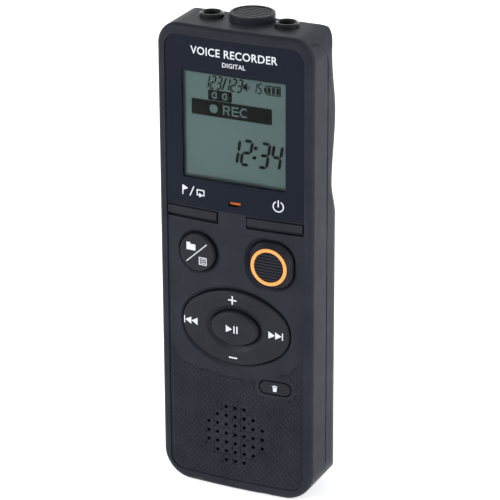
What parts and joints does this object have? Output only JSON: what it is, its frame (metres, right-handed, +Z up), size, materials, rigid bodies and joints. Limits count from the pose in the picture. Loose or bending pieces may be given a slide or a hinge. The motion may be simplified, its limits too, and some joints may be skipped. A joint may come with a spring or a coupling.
{
  "type": "handheld voice recorder",
  "caption": "Slim upright handheld sound recorder: display window, pressed keys, rocking ring, speaker holes, top jacks and a sliding battery cover.",
  "frame": {"origin": "centre of the overall box at its base, with the recorder standing on its lower end", "axes": "+Z up along the length, the display and keys face -Y, +X to the right as seen from the front"},
  "size_m": [0.036, 0.0178, 0.1073],
  "materials": {
    "case_plastic": "fine moulded satin",
    "key_plastic": "smooth satin",
    "window": "clear, dark-printed behind except over the display",
    "orange_trim": "satin orange",
    "lamp": "clear orange light guide",
    "rubber_web": "soft silicone rubber",
    "contact_metal": "nickel-plated spring steel",
    "board": "solder-masked laminate",
    "chip_plastic": "black moulding compound",
    "lcd": "reflective liquid-crystal glass with a grey-green ground",
    "inner_plastic": "plain moulded",
    "jack_plastic": "black, slightly glossy",
    "speaker_steel": "black painted basket",
    "mesh_fabric": "fine black dust mesh",
    "cell_jacket": "printed steel jacket",
    "screw_steel": "dark plated steel"
  },
  "bodies": {
    "case": {"front_shell": "case_plastic", "rear_shell": "case_plastic", "display_window": "window", "keypad_sheet": "rubber_web", "key_contacts": "contact_metal", "main_board": "board", "board_chips": "chip_plastic", "lcd_panel": "lcd", "lcd_frame": "inner_plastic", "record_lamp": "lamp", "earphone_jack": "jack_plastic", "microphone_jack": "jack_plastic", "microphone_cap": "key_plastic", "microphone_boot": "rubber_web", "microphone_capsule": "contact_metal", "speaker": "speaker_steel", "speaker_mesh": "mesh_fabric", "usb_socket": "contact_metal", "battery_left": "cell_jacket", "battery_right": "cell_jacket", "battery_tray": "inner_plastic", "contact_plates": "contact_metal", "contact_springs": "contact_metal", "case_screws": "screw_steel"},
    "index_key": {"index_key": "key_plastic"},
    "power_key": {"power_key": "key_plastic"},
    "folder_button": {"folder_button": "key_plastic"},
    "record_button": {"record_button": "key_plastic", "record_ring": "orange_trim"},
    "play_button": {"play_button": "key_plastic"},
    "erase_button": {"erase_button": "key_plastic"},
    "navigation_pivot": {"navigation_pivot": "rubber_web"},
    "navigation_ring": {"navigation_ring": "key_plastic"},
    "battery_cover": {"battery_cover": "case_plastic"}
  },
  "joints": [
    {"name": "index_key_press", "type": "slide", "parent": "case", "child": "index_key", "axis": [0, 1, 0], "range_m": [0, 0.0004], "stiffness_N_per_m": 2000},
    {"name": "power_key_press", "type": "slide", "parent": "case", "child": "power_key", "axis": [0, 1, 0], "range_m": [0, 0.0004], "stiffness_N_per_m": 2000},
    {"name": "folder_button_press", "type": "slide", "parent": "case", "child": "folder_button", "axis": [0, 1, 0], "range_m": [0, 0.0004], "stiffness_N_per_m": 2000},
    {"name": "record_button_press", "type": "slide", "parent": "case", "child": "record_button", "axis": [0, 1, 0], "range_m": [0, 0.0005], "stiffness_N_per_m": 2000},
    {"name": "play_button_press", "type": "slide", "parent": "case", "child": "play_button", "axis": [0, 1, 0], "range_m": [0, 0.00025], "stiffness_N_per_m": 2000},
    {"name": "erase_button_press", "type": "slide", "parent": "case", "child": "erase_button", "axis": [0, 1, 0], "range_m": [0, 0.0004], "stiffness_N_per_m": 2000},
    {"name": "ring_rock_up_down", "type": "hinge", "parent": "case", "child": "navigation_pivot", "pos_m": [0.0001, -0.00532, 0.039], "axis": [1, 0, 0], "range_deg": [-1, 1], "stiffness_Nm_per_rad": 0.8},
    {"name": "ring_rock_left_right", "type": "hinge", "parent": "navigation_pivot", "child": "navigation_ring", "pos_m": [0.0001, -0.00532, 0.039], "axis": [0, 0, 1], "range_deg": [-1, 1], "stiffness_Nm_per_rad": 0.8},
    {"name": "battery_cover_slide", "type": "slide", "parent": "case", "child": "battery_cover", "axis": [0, 0, -1], "range_m": [0, 0.012]}
  ]
}
